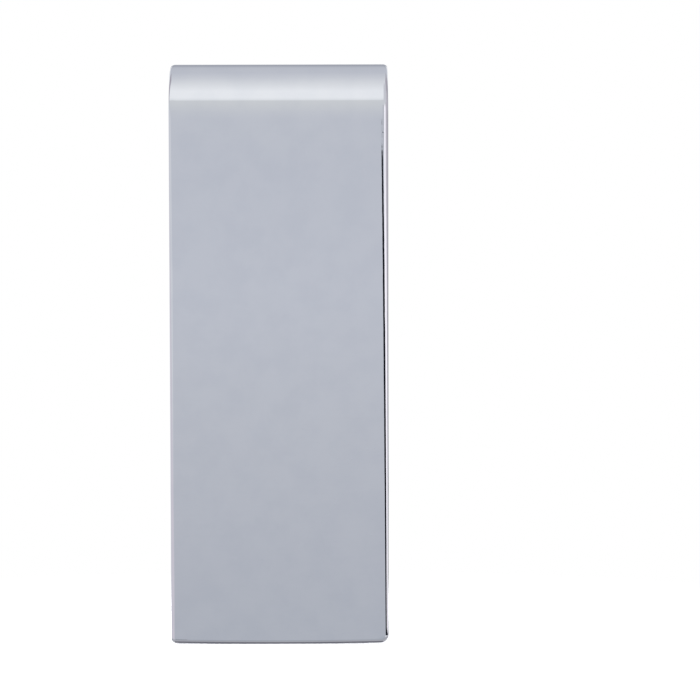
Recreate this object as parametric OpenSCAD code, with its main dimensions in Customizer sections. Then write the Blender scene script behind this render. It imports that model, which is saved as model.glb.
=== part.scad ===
// Money clip bent from one strip of polished metal.
//
// Frame: the origin is at the centre of the front plate's flat outer face. +X runs across the
// strip, -Y is the outward normal of that face, and +Z points along the clip to its bow.
// The strip runs up the front plate, over the bow, down the spring arm to the pinch bend that
// meets the plate, and out along the thumb lip. Its outer face on the plate is the side at Y = 0.

/* [Strip] */
// Width of the strip, which is the width of the whole clip
strip_w = 22; // [15:0.5:30]
// Thickness of the strip
strip_t = 0.8; // [0.65:0.05:1.1]
// Radius that softens the strip's long edges
edge_r = 0.25; // [0.1:0.05:0.3]

/* [Front plate] */
// Length of the whole clip, from the plate's end to the top of the bow
clip_len = 58; // [50:1:70]
// Radius of the front plate's two corners, seen from the front
plate_corner_r = 0.5; // [0.4:0.1:4]

/* [Spring bow] */
// Width of the bow across its outer faces
bow_w = 7.2; // [6.4:0.1:8.5]
// Outer radius of the bow's two flanks
bow_side_r = 5.1; // [4.8:0.1:6]
// Outer radius of the bow's crown, which is tighter than its flanks
bow_top_r = 2.6; // [2:0.1:3]

/* [Spring arm] */
// Angle at which the arm closes on the front plate
arm_deg = 8.5; // [7:0.1:10]
// Radius of the pinch bend's face towards the front plate
pinch_r = 2.8; // [2:0.1:3.5]
// Gap left between the pinch bend and the front plate at rest
rest_gap = 0.05; // [0.02:0.01:0.2]

/* [Thumb lip] */
// Angle at which the lip stands away from the front plate
lip_deg = 36; // [25:1:45]
// Length of the lip past the pinch bend
lip_len = 4.75; // [3:0.25:6.5]
// Radius of the lip's two corners
lip_corner_r = 0.9; // [0.4:0.1:2]

/* [Hidden] */
$fn = 96;
far = 60; // longer than any cut has to reach

// A unit vector in the Y-Z plane: 0 degrees points along -Y, and 90 degrees along +Z.
function ray(a) = [-cos(a), sin(a)];

// Each half of the bow is two arcs, a flank and half of the crown, that share a tangent where they
// meet. The back half mirrors the front one, and its flank turns on by the arm's angle.
flank_deg = acos((bow_side_r - bow_w / 2) / (bow_side_r - bow_top_r));
centre_step = bow_side_r - bow_top_r;
crown_rise = centre_step * sin(flank_deg) + bow_top_r;
plate_len = clip_len - crown_rise;
plate_top = plate_len / 2;
front_centre = [bow_side_r, plate_top];
crown_centre = front_centre + centre_step * ray(flank_deg);
back_centre = [bow_w - bow_side_r, plate_top];

// The arm's inner face starts at the bow's end and runs down until the pinch bend, tangent to
// it, stands rest_gap clear of the front plate's inner face.
arm_start = back_centre + (bow_side_r - strip_t) * ray(180 + arm_deg);
pinch_y = strip_t + rest_gap + pinch_r;
arm_len = (arm_start[0] + pinch_r * cos(arm_deg) - pinch_y) / sin(arm_deg);
arm_end = arm_start - arm_len * [sin(arm_deg), cos(arm_deg)];
pinch_centre = arm_end - pinch_r * ray(arm_deg);
lip_start = pinch_centre + pinch_r * ray(-lip_deg);

// Places its children at a point of the Y-Z plane, turned about X.
module at(point, turn = 0) {
    translate([0, point[0], point[1]]) rotate([turn, 0, 0]) children();
}

// A rectangle from y = 0 to y = size[1], centred on x = 0, with all its corners rounded.
module rounded_rect(size, r) {
    translate([-size[0] / 2 + r, 0]) square([size[0] - 2 * r, size[1]]);
    translate([-size[0] / 2, r]) square([size[0], size[1] - 2 * r]);
    for (x = [-1, 1], y = [r, size[1] - r])
        translate([x * (size[0] / 2 - r), y]) circle(r = r);
}

// A straight stretch of strip, from z = -len up to z = 0, with a face at y = 0.
module strip(len) {
    translate([0, 0, -len]) linear_extrude(len) rounded_rect([strip_w, strip_t], edge_r);
}

// A straight stretch whose lower end is free: its nose is fully round, and so are its corners.
module end_strip(len, corner_r) {
    intersection() {
        strip(len);
        translate([0, far / 2, -len]) rotate([90, 0, 0]) linear_extrude(far)
            rounded_rect([strip_w, len + far], corner_r);
        translate([-far / 2, strip_t / 2, -len]) rotate([90, 0, 90]) linear_extrude(far)
            rounded_rect([strip_t, len + far], strip_t / 2 - 0.001);
    }
}

// A bent stretch of strip about a centre, from one ray's angle to another's.
module bend(centre, outer_r, from, to) {
    at(centre) rotate([90, 0, -90]) rotate_extrude(angle = to - from, start = from)
        translate([outer_r - strip_t, 0]) rotate(-90) mirror([1, 0])
            rounded_rect([strip_w, strip_t], edge_r);
}

module front_plate() {
    color("silver") at([0, plate_top]) end_strip(plate_len, plate_corner_r);
}

module half_bow(from) {
    bend(front_centre, bow_side_r, from, flank_deg);
    bend(crown_centre, bow_top_r, flank_deg, 90);
}

module spring_bow() {
    color("gainsboro") union() {
        half_bow(0);
        translate([0, bow_w, 0]) mirror([0, 1, 0]) half_bow(-arm_deg);
    }
}

module spring_arm() {
    color("silver") at(arm_start, -arm_deg) strip(arm_len);
}

module pinch_bend() {
    color("gainsboro") bend(pinch_centre, pinch_r, -lip_deg, arm_deg);
}

module thumb_lip() {
    color("silver") at(lip_start, lip_deg) end_strip(lip_len, lip_corner_r);
}

front_plate();
spring_bow();
spring_arm();
pinch_bend();
thumb_lip();
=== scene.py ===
"""A polished money clip, bent from one strip of silver, on a plain pale floor.

The strip is drawn flat, in strip coordinates: x runs across it, s runs along it from the front
plate's free end, and n goes through it from the outer face. It is then wrapped onto the path that
the CAD nodes follow, so its three pieces meet without a seam. Lengths are in metres.
"""

import math

import bpy
import numpy as np
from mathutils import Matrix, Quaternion, Vector


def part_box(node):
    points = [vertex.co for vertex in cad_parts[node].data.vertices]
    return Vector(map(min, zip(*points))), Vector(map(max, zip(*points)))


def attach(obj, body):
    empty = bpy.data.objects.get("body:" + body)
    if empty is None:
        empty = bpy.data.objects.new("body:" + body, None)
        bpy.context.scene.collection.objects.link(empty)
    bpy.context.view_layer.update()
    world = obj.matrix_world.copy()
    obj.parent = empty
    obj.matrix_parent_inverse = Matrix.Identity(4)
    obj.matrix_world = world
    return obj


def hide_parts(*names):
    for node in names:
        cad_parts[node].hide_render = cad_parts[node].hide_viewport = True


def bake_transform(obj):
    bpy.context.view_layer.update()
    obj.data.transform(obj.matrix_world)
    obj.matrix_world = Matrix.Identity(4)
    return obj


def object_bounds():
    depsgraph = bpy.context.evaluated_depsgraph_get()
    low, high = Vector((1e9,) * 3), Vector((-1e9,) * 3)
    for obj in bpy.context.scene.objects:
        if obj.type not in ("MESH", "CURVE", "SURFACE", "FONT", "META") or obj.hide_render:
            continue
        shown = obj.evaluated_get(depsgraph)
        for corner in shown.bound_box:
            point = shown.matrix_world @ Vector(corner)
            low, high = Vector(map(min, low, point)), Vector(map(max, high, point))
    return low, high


# The bends of the strip, which repeat the CAD model's driving dimensions
BOW_SIDE_R = 0.0051
BOW_TOP_R = 0.0026
ARM_DEG = 8.5
PINCH_R = 0.0028
LIP_DEG = 36.0
LIP_LEN = 0.00475

# The strip's long edges: the outer corner is a soft ellipse, widest where the plate meets the bow,
# and the inner one is tighter
PLATE_END_ROUND = 0.00036
PLATE_TOP_ROUND = 0.00078
BOW_ROUND = 0.0004
OUTER_ROUND_T = 0.00025
INNER_ROUND = 0.0002
OUTER_STEPS = 18
EDGE_STEPS = 3
INNER_STEPS = 5

# The free ends: their nose, the radii of their left and right corners seen flat, and how far the
# end's middle stands out
NOSE_W = 0.0004
PLATE_CORNERS = (0.00045, 0.0008)
LIP_CORNERS = (0.00095, 0.00095)
CORNER_STEPS = 9
END_CROWN = 0.00012
END_CROWN_REACH = 0.004

# Mesh density
COLUMNS = 30
STRAIGHT_STEP = 0.0008
BEND_STEP_DEG = 1.5

# How far the outer face's left and right edges draw in at the bow's crown, as metal does where a
# bend stretches it
DRAW_IN = (0.00026, 0.00016)

# How far each edge lies inside the CAD strip, from finishing: at the bow, and at the plate's end
TRIM = 0.00004
END_TRIM = 0.0001

# How far the bow's piece runs on along the plate and along the arm
BOW_REACH = 0.003

# The camera: the angle and distance of the view, and the width that it takes in at the clip
VIEW_ELEVATION = 3.4
VIEW_DISTANCE = 0.55
VIEW_WIDTH = 0.0704
VIEW_ROLL = -0.13
AIM_RIGHT = 0.00709
AIM_UP = 0.00032
SENSOR = 36.0

# The floor's radius, and the distances between which it fades out
FLOOR_R = 0.08
FLOOR_FADE = (0.02, 0.075)


def smoothstep(t):
    t = min(1.0, max(0.0, t))
    return t * t * (3 - 2 * t)


def mix(a, b, share):
    return a + (b - a) * share


# ---------------------------------------------------------------- the strip's path


class Strip:
    """The strip's size, and the path of its outer face in the plane x = 0."""

    def __init__(self):
        lo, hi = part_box("front_plate")
        self.half_w = (hi.x - lo.x) / 2
        self.thick = hi.y - lo.y
        self.stretches = self.measure(lo, hi)
        s, heading, place = 0.0, 0.0, np.array([lo.y, lo.z])
        for stretch in self.stretches:
            bend = math.radians(stretch["turn"]) / stretch["length"]
            stretch.update(start=s, heading=heading, place=place, bend=bend)
            place = self.along(stretch, stretch["length"])
            heading += math.radians(stretch["turn"])
            s += stretch["length"]
        self.length = s
        bow = [x for x in self.stretches if x["node"] == "spring_bow"]
        self.bow_start = bow[0]["start"]
        self.crown_start = bow[1]["start"]
        self.bow_end = bow[2]["start"] + bow[2]["length"]

    def measure(self, lo, hi):
        """The stretches of the path, each straight or an arc that turns by so many degrees."""
        bow_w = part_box("spring_bow")[1].y - lo.y
        flank = math.degrees(math.acos((BOW_SIDE_R - bow_w / 2) / (BOW_SIDE_R - BOW_TOP_R)))
        crown = 180 - 2 * flank
        arm = math.radians(ARM_DEG)
        arm_start = bow_w - BOW_SIDE_R + (BOW_SIDE_R - self.thick) * math.cos(arm)
        arm_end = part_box("pinch_bend")[0].y + PINCH_R * (1 - math.cos(arm))
        pinch = ARM_DEG + LIP_DEG
        rows = [
            ("front_plate", hi.z - lo.z, 0.0),
            ("spring_bow", BOW_SIDE_R * math.radians(flank), flank),
            ("spring_bow", BOW_TOP_R * math.radians(crown), crown),
            ("spring_bow", BOW_SIDE_R * math.radians(flank + ARM_DEG), flank + ARM_DEG),
            ("spring_arm", (arm_start - arm_end) / math.sin(arm), 0.0),
            ("pinch_bend", (PINCH_R - self.thick) * math.radians(pinch), -pinch),
            ("thumb_lip", LIP_LEN, 0.0),
        ]
        return [{"node": node, "length": length, "turn": turn} for node, length, turn in rows]

    @staticmethod
    def along(stretch, ds):
        """The path's point (y, z) at a distance ds from the start of a stretch."""
        heading, bend = stretch["heading"], stretch["bend"]
        if bend == 0:
            return stretch["place"] + ds * np.array([math.sin(heading), math.cos(heading)])
        turned = heading + bend * ds
        across = math.cos(heading) - math.cos(turned)
        up = math.sin(turned) - math.sin(heading)
        return stretch["place"] + np.array([across, up]) / bend

    def draw_in(self, x, s, n):
        """How far the edge on x's side of the strip lies inside the CAD strip's."""
        middle = (self.bow_start + self.bow_end) / 2
        bent = max(0.0, 1 - abs(s - middle) / (middle - self.bow_start)) ** 2
        trim = mix(END_TRIM, TRIM, min(1.0, s / self.bow_start))
        pulled = mix(*DRAW_IN, 0.5 + 0.5 * x / self.half_w)
        return trim + pulled * bent * (1 - n / self.thick)

    def rounding(self, s):
        """The width of the outer corner of the long edges."""
        if s < self.bow_start:
            return mix(PLATE_END_ROUND, PLATE_TOP_ROUND, s / self.bow_start)
        onto = smoothstep((s - self.bow_start) / (self.crown_start - self.bow_start))
        return mix(PLATE_TOP_ROUND, BOW_ROUND, onto)

    def point(self, x, s, n):
        """The strip point (x, s, n) in the row frame."""
        stretch = [k for k in self.stretches if k["start"] <= max(s, 0.0) + 1e-9][-1]
        ds = s - stretch["start"]
        y, z = self.along(stretch, ds)
        heading = stretch["heading"] + stretch["bend"] * ds
        x *= 1 - self.draw_in(x, s, n) / self.half_w
        return (x, y + n * math.cos(heading), z - n * math.sin(heading))

    def rows(self, s_from, s_to):
        """Places along the strip from s_from to s_to, closer together where it is bent."""
        out = [s_from]
        for stretch in self.stretches:
            a = max(stretch["start"], s_from)
            b = min(stretch["start"] + stretch["length"], s_to)
            if b - a < 1e-6:
                continue
            turned = abs(math.degrees(stretch["bend"] * (b - a)))
            count = math.ceil(max(turned / BEND_STEP_DEG, (b - a) / STRAIGHT_STEP, 2))
            out += [a + (b - a) * (i + 1) / count for i in range(count)]
        return out


# ---------------------------------------------------------------- the strip's pieces


def edge_profile(thick, round_w):
    """The rim of the strip as (inset from the edge, depth from the outer face) pairs."""
    out = []
    for i in range(OUTER_STEPS + 1):
        u = math.pi / 2 * (i / OUTER_STEPS) ** 1.5
        out.append((round_w * (1 - math.sin(u)), OUTER_ROUND_T * (1 - math.cos(u))))
    flat = thick - OUTER_ROUND_T - INNER_ROUND
    out += [(0.0, OUTER_ROUND_T + flat * i / EDGE_STEPS) for i in range(1, EDGE_STEPS + 1)]
    for i in range(1, INNER_STEPS + 1):
        u = math.pi / 2 * i / INNER_STEPS
        out.append((INNER_ROUND * (1 - math.cos(u)), thick - INNER_ROUND * (1 - math.sin(u))))
    return out


def nose_profile(thick, count):
    """The rim of a free end, which is a full half round, with the same number of steps."""
    out = []
    for i in range(count):
        u = math.pi * i / (count - 1)
        out.append((NOSE_W * (1 - math.sin(u)), thick / 2 * (1 - math.cos(u))))
    return out


class Band:
    """A length of the strip as rungs across it, each of which knows its rim's insets."""

    def __init__(self, strip, s_from, s_to, free_at=None, corners=(0.0, 0.0)):
        self.strip = strip
        self.nose = nose_profile(strip.thick, OUTER_STEPS + EDGE_STEPS + INNER_STEPS + 1)
        self.free_at, self.corners = free_at, corners
        self.sign = -1 if free_at == s_from else 1
        if free_at is None:
            self.rungs = [(s, 0.0) for s in strip.rows(s_from, s_to)]
            self.sides = [edge_profile(strip.thick, strip.rounding(s)) for s, _ in self.rungs]
            return
        centre = free_at - self.sign * max(corners)
        ends = (centre, s_to) if self.sign < 0 else (s_from, centre)
        turns = [math.pi / 2 * (i + 1) / CORNER_STEPS for i in range(CORNER_STEPS)]
        rungs = [(s, 0.0) for s in strip.rows(*ends)]
        corner = [(centre, t) for t in turns]
        self.rungs = corner[::-1] + rungs if self.sign < 0 else rungs + corner
        self.sides = [edge_profile(strip.thick, strip.rounding(s)) for s, _ in self.rungs]

    def flat(self, i, j, k):
        """The strip coordinates of column j on rung i, at step k of the rim."""
        s, turn = self.rungs[i]
        share = smoothstep(turn / (math.pi / 2))
        inset = mix(self.sides[i][k][0], self.nose[k][0], share)
        depth = mix(self.sides[i][k][1], self.nose[k][1], share)
        left, right = [self.strip.half_w - r + (r - inset) * math.cos(turn) for r in self.corners]
        x = mix(-left, right, j / COLUMNS)
        if turn > 0:
            radius = mix(*self.corners, j / COLUMNS)
            s = self.free_at - self.sign * (radius - (radius - inset) * math.sin(turn))
        if self.free_at is not None:
            near = smoothstep(1 - abs(s - self.free_at) / END_CROWN_REACH)
            s -= self.sign * END_CROWN * near * (x / self.strip.half_w) ** 2
        return x, s, depth

    def mesh(self, name):
        """The closed mesh of this band, with its strip coordinates kept for the material."""
        last, rims = len(self.rungs) - 1, len(self.nose) - 1
        index, flats, faces = {}, [], []

        def v(i, j, k):
            if (i, j, k) not in index:
                index[i, j, k] = len(flats)
                flats.append(self.flat(i, j, k))
            return index[i, j, k]

        for i in range(last):
            for j in range(COLUMNS):
                faces.append((v(i, j, 0), v(i, j + 1, 0), v(i + 1, j + 1, 0), v(i + 1, j, 0)))
                back = (v(i, j, rims), v(i, j + 1, rims), v(i + 1, j + 1, rims), v(i + 1, j, rims))
                faces.append(back[::-1])
            for k in range(rims):
                faces.append((v(i, 0, k), v(i + 1, 0, k), v(i + 1, 0, k + 1), v(i, 0, k + 1)))
                j = COLUMNS
                faces.append((v(i, j, k), v(i, j, k + 1), v(i + 1, j, k + 1), v(i + 1, j, k)))
        caps = []
        for i in (0, last):
            if self.rungs[i][1] > 0:
                for j in range(COLUMNS):
                    for k in range(rims):
                        faces.append((v(i, j, k), v(i, j, k + 1), v(i, j + 1, k + 1), v(i, j + 1, k)))
                        if i == last:
                            faces[-1] = faces[-1][::-1]
                continue
            ring = [v(i, j, 0) for j in range(COLUMNS)]
            ring += [v(i, COLUMNS, k) for k in range(rims)]
            ring += [v(i, j, rims) for j in range(COLUMNS, 0, -1)]
            ring += [v(i, 0, k) for k in range(rims, 0, -1)]
            caps.append(len(faces))
            faces.append(ring if i == last else ring[::-1])
        data = bpy.data.meshes.new(name)
        data.from_pydata([self.strip.point(*f) for f in flats], [], faces)
        data.polygons.foreach_set("use_smooth", [True] * len(faces))
        for cap in caps:
            self.sharpen(data, data.polygons[cap])
        place = data.attributes.new("strip_place", "FLOAT_VECTOR", "POINT")
        place.data.foreach_set("vector", [c for f in flats for c in f])
        return data

    @staticmethod
    def sharpen(data, cap):
        """Marks a cap's edges sharp, so that it doesn't shade into the faces round it."""
        cap.use_smooth = False
        rim = set(cap.edge_keys)
        for edge in data.edges:
            if edge.key in rim:
                edge.use_edge_sharp = True


def add_piece(name, band, nodes, material):
    """Adds a band's mesh to the scene, in place of the CAD nodes that it follows."""
    piece = bpy.data.objects.new(name, band.mesh(name))
    bpy.context.scene.collection.objects.link(piece)
    piece.data.materials.append(material)
    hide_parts(*nodes)
    return piece


def build_clip(material):
    """The strip in three pieces: the plate, the arm, and the bow that bends between them."""
    strip = Strip()
    below, above = strip.bow_start - BOW_REACH, strip.bow_end + BOW_REACH
    plate = Band(strip, 0.0, below, 0.0, PLATE_CORNERS)
    bow = Band(strip, below, above)
    arm = Band(strip, above, strip.length, strip.length, LIP_CORNERS)
    front = add_piece("front_plate_strip", plate, ["front_plate"], material)
    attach(front, "plate")
    spring = add_piece("spring_arm_strip", arm, ["spring_arm", "pinch_bend", "thumb_lip"], material)
    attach(spring, "arm")
    bend = add_piece("spring_bow_strip", bow, ["spring_bow"], material)
    arm_y = strip.point(0.0, above, strip.thick)[1]
    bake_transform(bend)


# ---------------------------------------------------------------- materials


class Nodes:
    """Short ways to add and link shader nodes in one tree."""

    def __init__(self, owner):
        owner.use_nodes = True
        self.tree = owner.node_tree
        self.tree.nodes.clear()

    def add(self, kind, inputs=(), **settings):
        node = self.tree.nodes.new(kind)
        for name, value in settings.items():
            setattr(node, name, value)
        for key, value in dict(inputs).items():
            if isinstance(value, bpy.types.NodeSocket):
                self.tree.links.new(value, node.inputs[key])
            else:
                node.inputs[key].default_value = value
        return node

    def math(self, operation, *values):
        return self.add("ShaderNodeMath", enumerate(values), operation=operation).outputs[0]

    def map(self, value, low, high, to_low=0.0, to_high=1.0, smooth=True):
        """value mapped from low..high to to_low..to_high."""
        kind = "SMOOTHSTEP" if smooth else "LINEAR"
        inputs = {0: value, 1: low, 2: high, 3: to_low, 4: to_high}
        return self.add("ShaderNodeMapRange", inputs, interpolation_type=kind).outputs[0]

    def mix(self, share, a, b):
        node = self.add("ShaderNodeMix", data_type="RGBA")
        for name, value in (("Factor_Float", share), ("A_Color", a), ("B_Color", b)):
            socket = next(s for s in node.inputs if s.identifier == name)
            if isinstance(value, bpy.types.NodeSocket):
                self.tree.links.new(value, socket)
            else:
                socket.default_value = value
        return next(s for s in node.outputs if s.identifier == "Result_Color")

    def noise(self, where, scale, detail=2.0):
        inputs = {"Vector": where, "Scale": scale, "Detail": detail}
        return self.add("ShaderNodeTexNoise", inputs).outputs["Fac"]

    def stretched(self, where, scale):
        """Coordinates scaled differently along each axis, for streaks."""
        inputs = {"Vector": where, "Scale": scale}
        return self.add("ShaderNodeMapping", inputs).outputs["Vector"]

    def bump(self, height, strength, distance, before=None):
        inputs = {"Height": height, "Strength": strength, "Distance": distance}
        if before is not None:
            inputs["Normal"] = before
        return self.add("ShaderNodeBump", inputs).outputs["Normal"]


def polished_silver():
    """Polished silver with faint buffing streaks, a slight unevenness and a few tiny marks."""
    material = bpy.data.materials.new("polished_silver")
    n = Nodes(material)
    place = n.add("ShaderNodeAttribute", attribute_name="strip_place").outputs["Vector"]

    waves = n.noise(n.stretched(place, (1.0, 0.6, 1.0)), 160.0, 2.0)
    rolls = n.noise(n.stretched(place, (0.12, 1.0, 1.0)), 1100.0, 2.0)
    streaks = n.noise(n.stretched(place, (14.0, 0.9, 14.0)), 900.0, 3.0)
    smudges = n.noise(place, 330.0, 4.0)
    specks = n.add("ShaderNodeTexVoronoi", {"Vector": place, "Scale": 900.0}).outputs["Distance"]
    pits = n.map(specks, 0.02, 0.12, 1.0, 0.0)

    tone = n.map(smudges, 0.35, 0.7)
    colour = n.mix(tone, (0.915, 0.915, 0.918, 1.0), (0.885, 0.888, 0.898, 1.0))
    rough = n.math("ADD", n.map(smudges, 0.35, 0.75, 0.015, 0.03), n.map(streaks, 0.4, 0.8, 0.0, 0.01))
    normal = n.bump(waves, 0.025, 0.0004)
    normal = n.bump(rolls, 0.02, 0.00003, normal)
    normal = n.bump(streaks, 0.02, 0.00003, normal)
    normal = n.bump(pits, 0.03, 0.00002, normal)

    inputs = {"Base Color": colour, "Metallic": 1.0, "Roughness": rough, "Normal": normal}
    shader = n.add("ShaderNodeBsdfPrincipled", inputs).outputs[0]
    n.add("ShaderNodeOutputMaterial", {"Surface": shader})
    return material


def pale_floor():
    """A plain pale floor that fades out round the clip."""
    material = bpy.data.materials.new("pale_floor")
    n = Nodes(material)
    place = n.add("ShaderNodeTexCoord").outputs["Object"]
    grain = n.noise(place, 400.0, 3.0)
    colour = n.mix(grain, (0.93, 0.93, 0.94, 1.0), (0.95, 0.95, 0.95, 1.0))
    away = n.add("ShaderNodeVectorMath", {0: place}, operation="LENGTH").outputs["Value"]
    shown = n.map(away, *FLOOR_FADE, 1.0, 0.0)
    diffuse = n.add("ShaderNodeBsdfDiffuse", {"Color": colour}).outputs[0]
    clear = n.add("ShaderNodeBsdfTransparent").outputs[0]
    shader = n.add("ShaderNodeMixShader", {0: shown, 1: clear, 2: diffuse}).outputs[0]
    n.add("ShaderNodeOutputMaterial", {"Surface": shader})
    return material


# ---------------------------------------------------------------- floor, light and camera


def build_floor(lo):
    """The floor under the clip's free end, which the clip doesn't reflect."""
    bpy.ops.mesh.primitive_circle_add(vertices=96, radius=FLOOR_R, fill_type="NGON")
    floor = bpy.context.object
    floor.name = "floor"
    floor.location = (0.0, 0.0, lo.z)
    floor.data.materials.append(pale_floor())
    floor.visible_glossy = False


def build_light(name, place, size, power):
    """A round soft light, turned to the clip. It lights the floor but isn't reflected."""
    data = bpy.data.lights.new(name, "AREA")
    data.shape = "DISK"
    data.size = size
    data.energy = power
    lamp = bpy.data.objects.new(name, data)
    bpy.context.scene.collection.objects.link(lamp)
    lamp.location = place
    lamp.rotation_euler = (-Vector(place)).to_track_quat("-Z", "Y").to_euler()
    lamp.visible_glossy = False
    return lamp


# Light of the studio, along the circle from straight in front of the clip, over it, to behind it:
# (degrees above the front horizon, red, green, blue)
TENT = [
    (-180, 0.40, 0.42, 0.47),
    (-150, 0.50, 0.51, 0.55),
    (-90, 0.42, 0.43, 0.46),
    (-45, 0.40, 0.41, 0.45),
    (-20, 0.36, 0.38, 0.44),
    (-9, 0.40, 0.44, 0.50),
    (-6.3, 0.45, 0.475, 0.54),
    (-4.2, 0.51, 0.535, 0.60),
    (-3.0, 0.54, 0.567, 0.64),
    (-1.6, 0.54, 0.567, 0.64),
    (-1.2, 0.52, 0.547, 0.62),
    (-0.8, 0.54, 0.565, 0.63),
    (0, 0.575, 0.60, 0.655),
    (14, 0.61, 0.635, 0.675),
    (22.5, 0.63, 0.655, 0.69),
    (24.5, 0.77, 0.80, 0.84),
    (30, 0.85, 0.875, 0.92),
    (45, 0.85, 0.875, 0.92),
    (62, 0.73, 0.755, 0.80),
    (80, 0.61, 0.635, 0.695),
    (96, 0.54, 0.565, 0.635),
    (120, 0.52, 0.545, 0.61),
    (150, 0.39, 0.41, 0.47),
    (180, 0.40, 0.42, 0.47),
]


class Studio:
    """The light all round the clip: a tent over it, with cards and dark gaps to its sides."""

    def __init__(self, n):
        """Works out the angles, in degrees, and the sideways share of a direction from the clip."""
        self.n = n
        way = n.add("ShaderNodeTexCoord").outputs["Generated"]
        parts = n.add("ShaderNodeSeparateXYZ", {0: way}).outputs
        front = n.math("MULTIPLY", parts[1], -1.0)
        half_over = n.math("ARCTAN2", parts[2], n.math("ADD", front, 1.0))
        self.over = n.math("DEGREES", n.math("MULTIPLY", half_over, 2.0))
        self.around = n.math("DEGREES", n.math("ARCTAN2", parts[0], front))
        self.above = n.math("DEGREES", n.math("ARCSINE", parts[2]))
        self.rear = n.math("DEGREES", n.math("ARCTAN2", parts[0], parts[1]))
        self.aside = n.math("ABSOLUTE", parts[0])
        self.colour = self.tent()

    def tent(self):
        turn = self.n.map(self.over, -180.0, 180.0, smooth=False)
        ramp = self.n.add("ShaderNodeValToRGB", {0: turn})
        stops = ramp.color_ramp.elements
        while len(stops) < len(TENT):
            stops.new(0.5)
        for stop, (angle, red, green, blue) in zip(stops, TENT):
            stop.position = (angle + 180) / 360
            stop.color = (red, green, blue, 1.0)
        return ramp.outputs[0]

    def slanted(self, slope):
        """The angle round the clip plus slope times the angle above it."""
        return self.n.math("ADD", self.around, self.n.math("MULTIPLY", self.above, slope))

    def card(self, tone, *limits):
        """Puts a card into the tent where each (value, low, high, soft edge) limit holds."""
        share = 1.0
        for value, low, high, soft in limits:
            rise = self.n.map(value, low - soft, low)
            fall = self.n.map(value, high, high + soft, 1.0, 0.0)
            share = self.n.math("MULTIPLY", share, self.n.math("MULTIPLY", rise, fall))
        self.colour = self.n.mix(share, self.colour, (*tone, 1.0))


def hang_behind(room):
    """A bright card behind the clip, with a darker upright strip in its middle."""
    room.card((0.92, 0.93, 0.96), (room.rear, -70, 50, 4), (room.above, -14, 25, 4))
    room.card((0.38, 0.40, 0.46), (room.rear, -12, 12, 6), (room.above, 2, 40, 3))


def hang_left(room):
    """The pale cards that the left rim shows, the lower one wider towards the clip's foot."""
    low = (room.above, -14, 6, 9)
    pale, lilac = (0.62, 0.645, 0.705), (0.60, 0.585, 0.66)
    room.card(pale, (room.around, -105, -27, 4), (room.slanted(7.5), -900, -49, 6), low)
    room.card(lilac, (room.around, -105, -8, 4), (room.slanted(14.0), -900, -97, 10), low)


def hang_right(room):
    """The cards that the right rim shows as upright lines, and the bow's rims as their outline."""
    around, above = room.around, room.above
    right = room.slanted(-0.5)
    mauve, outline = (0.51, 0.49, 0.55), (0.40, 0.38, 0.44)
    room.card((1.0, 0.98, 1.06), (around, 21, 82, 3), (above, -14, 5, 12))
    room.card((0.60, 0.61, 0.67), (around, 24, 90, 12), (above, 24, 55, 10))
    room.card((0.48, 0.495, 0.55), (around, 12, 16.5, 1.5), (above, -1.1, 12, 0.3))
    room.card(mauve, (right, 33, 82, 6), (above, 20, 36, 10))
    room.card(outline, (right, 33, 82, 6), (above, 38, 58, 8))
    room.card(outline, (around, -112, -76, 8), (above, 14, 55, 8))
    level = (above, -14, 14, 4)
    room.card(mauve, (around, 34, 84, 3), (room.slanted(12.0), 20, 900, 10), level)
    room.card((0.28, 0.29, 0.33), (around, 84, 120, 3), (above, -14, 25, 6))


def open_gaps(room):
    """The dark gap to the right, the wedge that widens downwards, and the dim ground below."""
    dark = (0.004, 0.005, 0.01)
    room.card(dark, (room.around, 85, 120, 2), (room.above, -12, -1.2, 1.5))
    wedge = [(room.slanted(2.2), 0.9, 90, 0.5), (room.slanted(6.8), -90, 3.0, 0.8)]
    room.card(dark, *wedge, (room.above, -14, -1.2, 0.04))
    middle = (room.aside, -1, 0.25, 0.15)
    room.card((0.165, 0.168, 0.20), (room.over, -150, -72, 14), middle, (room.above, -90, -20, 8))


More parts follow.
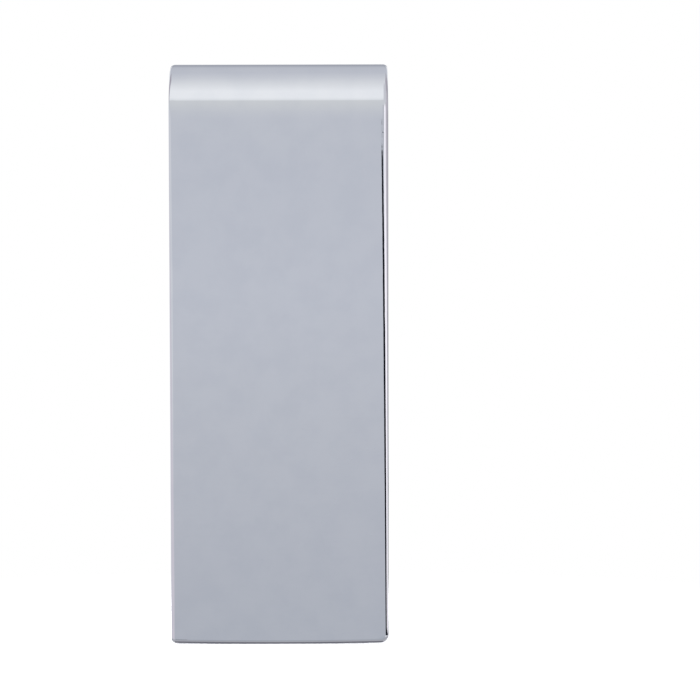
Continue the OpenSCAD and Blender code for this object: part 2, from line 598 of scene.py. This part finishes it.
def build_world():
    """Soft studio light for the clip to reflect, and plain white for the camera."""
    world = bpy.data.worlds.new("studio")
    bpy.context.scene.world = world
    n = Nodes(world)
    room = Studio(n)
    hang_behind(room)
    hang_left(room)
    hang_right(room)
    open_gaps(room)
    seen = n.add("ShaderNodeLightPath").outputs["Is Camera Ray"]
    colour = n.mix(seen, room.colour, (1.0, 1.0, 1.0, 1.0))
    light = n.add("ShaderNodeBackground", {"Color": colour}).outputs[0]
    n.add("ShaderNodeOutputWorld", {"Surface": light})


def build_camera(lo, hi):
    """The photographed view: from in front and just above, with the clip left of the middle."""
    data = bpy.data.cameras.new("camera")
    data.sensor_width = SENSOR
    data.lens = SENSOR * VIEW_DISTANCE / VIEW_WIDTH
    camera = bpy.data.objects.new("camera", data)
    bpy.context.scene.collection.objects.link(camera)
    bpy.context.scene.camera = camera
    rise = math.radians(VIEW_ELEVATION)
    back = Vector((0.0, -math.cos(rise), math.sin(rise)))
    aim = (lo + hi) / 2 + Vector((AIM_RIGHT, 0.0, AIM_UP))
    camera.location = aim + back * VIEW_DISTANCE
    level = (-back).to_track_quat("-Z", "Y")
    camera.rotation_euler = (level @ Quaternion((0, 0, 1), math.radians(VIEW_ROLL))).to_euler()
    data.clip_start = 0.01
    data.clip_end = 10.0


# ---------------------------------------------------------------- the scene

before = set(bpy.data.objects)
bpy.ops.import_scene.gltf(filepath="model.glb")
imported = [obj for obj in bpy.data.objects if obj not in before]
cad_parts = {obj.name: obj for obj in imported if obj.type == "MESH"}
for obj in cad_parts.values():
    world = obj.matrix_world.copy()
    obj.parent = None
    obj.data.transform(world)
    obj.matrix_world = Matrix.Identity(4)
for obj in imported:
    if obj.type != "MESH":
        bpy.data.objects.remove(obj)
cad_lo, cad_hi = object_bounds()

build_camera(cad_lo, cad_hi)
build_clip(polished_silver())
build_floor(cad_lo)
build_world()
build_light("key", (-0.25, -0.3, 0.6), 0.5, 14.0)
build_light("fill", (0.4, 0.2, 0.5), 0.6, 6.0)
bpy.context.scene.view_settings.view_transform = "Standard"

# Light is reflected to and fro between the plate and the arm
bpy.context.scene.cycles.max_bounces = 24
bpy.context.scene.cycles.glossy_bounces = 24
